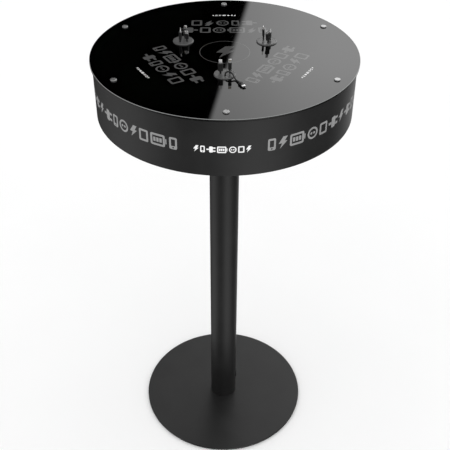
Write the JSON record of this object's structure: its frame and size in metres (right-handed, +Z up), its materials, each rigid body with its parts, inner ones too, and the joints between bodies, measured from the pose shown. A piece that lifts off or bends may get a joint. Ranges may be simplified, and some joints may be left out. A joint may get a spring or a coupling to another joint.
{
  "type": "phone charging kiosk",
  "caption": "Free-standing round charging kiosk: foot plate, column and sheet-metal drum with a black glass top, from whose grommets charging leads pull out.",
  "frame": {"origin": "centre of the foot plate, on the floor, on the column axis", "axes": "+Z up along the column, -Y towards the front grommet, +X to the right seen from the front"},
  "size_m": [0.5959, 0.596, 1.149],
  "materials": {
    "powder_coat": "satin black powder coat",
    "black_glass": "back-painted toughened glass, polished",
    "rubber": "matt",
    "zinc": "zinc plated",
    "raw_steel": "turned",
    "chrome": "polished",
    "satin_chrome": "satin",
    "grommet_grey": "grey anodised, satin",
    "black_plastic": "moulded, fine texture",
    "red_plastic": "moulded, gloss",
    "plug_plastic": "moulded, satin",
    "tip_metal": "nickel plated",
    "lead_jacket": "soft jacket, satin"
  },
  "bodies": {
    "stand": {"foot_plate": "powder_coat", "foot_pads": "rubber", "foot_bolts": "zinc", "column_foot": "raw_steel", "column_tube": "powder_coat", "column_head": "powder_coat", "head_bolts": "zinc", "cord_bushing": "rubber", "drum_wall": "powder_coat", "drum_floor": "powder_coat", "floor_screws": "zinc", "hatch_leaf": "powder_coat", "hatch_pin": "zinc", "glass_top": "black_glass", "glass_seals": "rubber", "glass_posts": "zinc", "cap_screws": "satin_chrome", "grommet_rings": "grommet_grey", "grommet_nuts": "black_plastic", "lead_guides": "grommet_grey", "hub_case": "black_plastic", "hub_cover": "black_plastic", "hub_screws": "zinc", "hub_plugs": "black_plastic", "switch_frame": "black_plastic", "lead_tails": "lead_jacket", "tail_clips": "black_plastic", "loose_cord": "lead_jacket", "tip_front_oval": "tip_metal", "plug_front_oval": "plug_plastic", "coil_front_broad": "lead_jacket", "coil_front_narrow": "lead_jacket", "coil_front_oval": "lead_jacket", "coil_right_broad": "lead_jacket", "coil_right_narrow": "lead_jacket", "coil_right_oval": "lead_jacket", "coil_left_broad": "lead_jacket", "coil_left_narrow": "lead_jacket", "coil_left_oval": "lead_jacket"},
    "hatch": {"hatch_door": "powder_coat", "lock_body": "chrome"},
    "lock": {"lock_cam": "zinc"},
    "rocker": {"switch_rocker": "red_plastic"},
    "lead_front_broad": {"plug_front_broad": "plug_plastic", "tip_front_broad": "tip_metal"},
    "lead_front_narrow": {"plug_front_narrow": "plug_plastic", "tip_front_narrow": "tip_metal"},
    "lead_right_broad": {"plug_right_broad": "plug_plastic", "tip_right_broad": "tip_metal"},
    "lead_right_narrow": {"plug_right_narrow": "plug_plastic", "tip_right_narrow": "tip_metal"},
    "lead_right_oval": {"plug_right_oval": "plug_plastic", "tip_right_oval": "tip_metal"},
    "lead_left_broad": {"plug_left_broad": "plug_plastic", "tip_left_broad": "tip_metal"},
    "lead_left_narrow": {"plug_left_narrow": "plug_plastic", "tip_left_narrow": "tip_metal"},
    "lead_left_oval": {"plug_left_oval": "plug_plastic", "tip_left_oval": "tip_metal"}
  },
  "joints": [
    {"name": "hatch_swing", "type": "hinge", "parent": "stand", "child": "hatch", "pos_m": [0, 0.221, 0.9767], "axis": [1, 0, 0], "range_deg": [0, 95]},
    {"name": "lock_turn", "type": "hinge", "parent": "hatch", "child": "lock", "pos_m": [0, 0.134, 0.98], "axis": [0, 0, -1], "range_deg": [0, 90]},
    {"name": "switch_press", "type": "hinge", "parent": "stand", "child": "rocker", "pos_m": [-0.176, 0.026, 1.0145], "axis": [0, -1, 0], "range_deg": [0, 16]},
    {"name": "pull_front_broad", "type": "slide", "parent": "stand", "child": "lead_front_broad", "axis": [0, 0, 1], "range_m": [0, 0.06], "stiffness_N_per_m": 8, "springref_m": -0.012, "deforming": ["coil_front_broad"]},
    {"name": "pull_front_narrow", "type": "slide", "parent": "stand", "child": "lead_front_narrow", "axis": [0, 0, 1], "range_m": [0, 0.06], "stiffness_N_per_m": 8, "springref_m": -0.012, "deforming": ["coil_front_narrow"]},
    {"name": "pull_right_broad", "type": "slide", "parent": "stand", "child": "lead_right_broad", "axis": [0, 0, 1], "range_m": [0, 0.06], "stiffness_N_per_m": 8, "springref_m": -0.012, "deforming": ["coil_right_broad"]},
    {"name": "pull_right_narrow", "type": "slide", "parent": "stand", "child": "lead_right_narrow", "axis": [0, 0, 1], "range_m": [0, 0.06], "stiffness_N_per_m": 8, "springref_m": -0.012, "deforming": ["coil_right_narrow"]},
    {"name": "pull_right_oval", "type": "slide", "parent": "stand", "child": "lead_right_oval", "axis": [0, 0, 1], "range_m": [0, 0.06], "stiffness_N_per_m": 8, "springref_m": -0.012, "deforming": ["coil_right_oval"]},
    {"name": "pull_left_broad", "type": "slide", "parent": "stand", "child": "lead_left_broad", "axis": [0, 0, 1], "range_m": [0, 0.06], "stiffness_N_per_m": 8, "springref_m": -0.012, "deforming": ["coil_left_broad"]},
    {"name": "pull_left_narrow", "type": "slide", "parent": "stand", "child": "lead_left_narrow", "axis": [0, 0, 1], "range_m": [0, 0.06], "stiffness_N_per_m": 8, "springref_m": -0.012, "deforming": ["coil_left_narrow"]},
    {"name": "pull_left_oval", "type": "slide", "parent": "stand", "child": "lead_left_oval", "axis": [0, 0, 1], "range_m": [0, 0.06], "stiffness_N_per_m": 8, "springref_m": -0.012, "deforming": ["coil_left_oval"]}
  ]
}
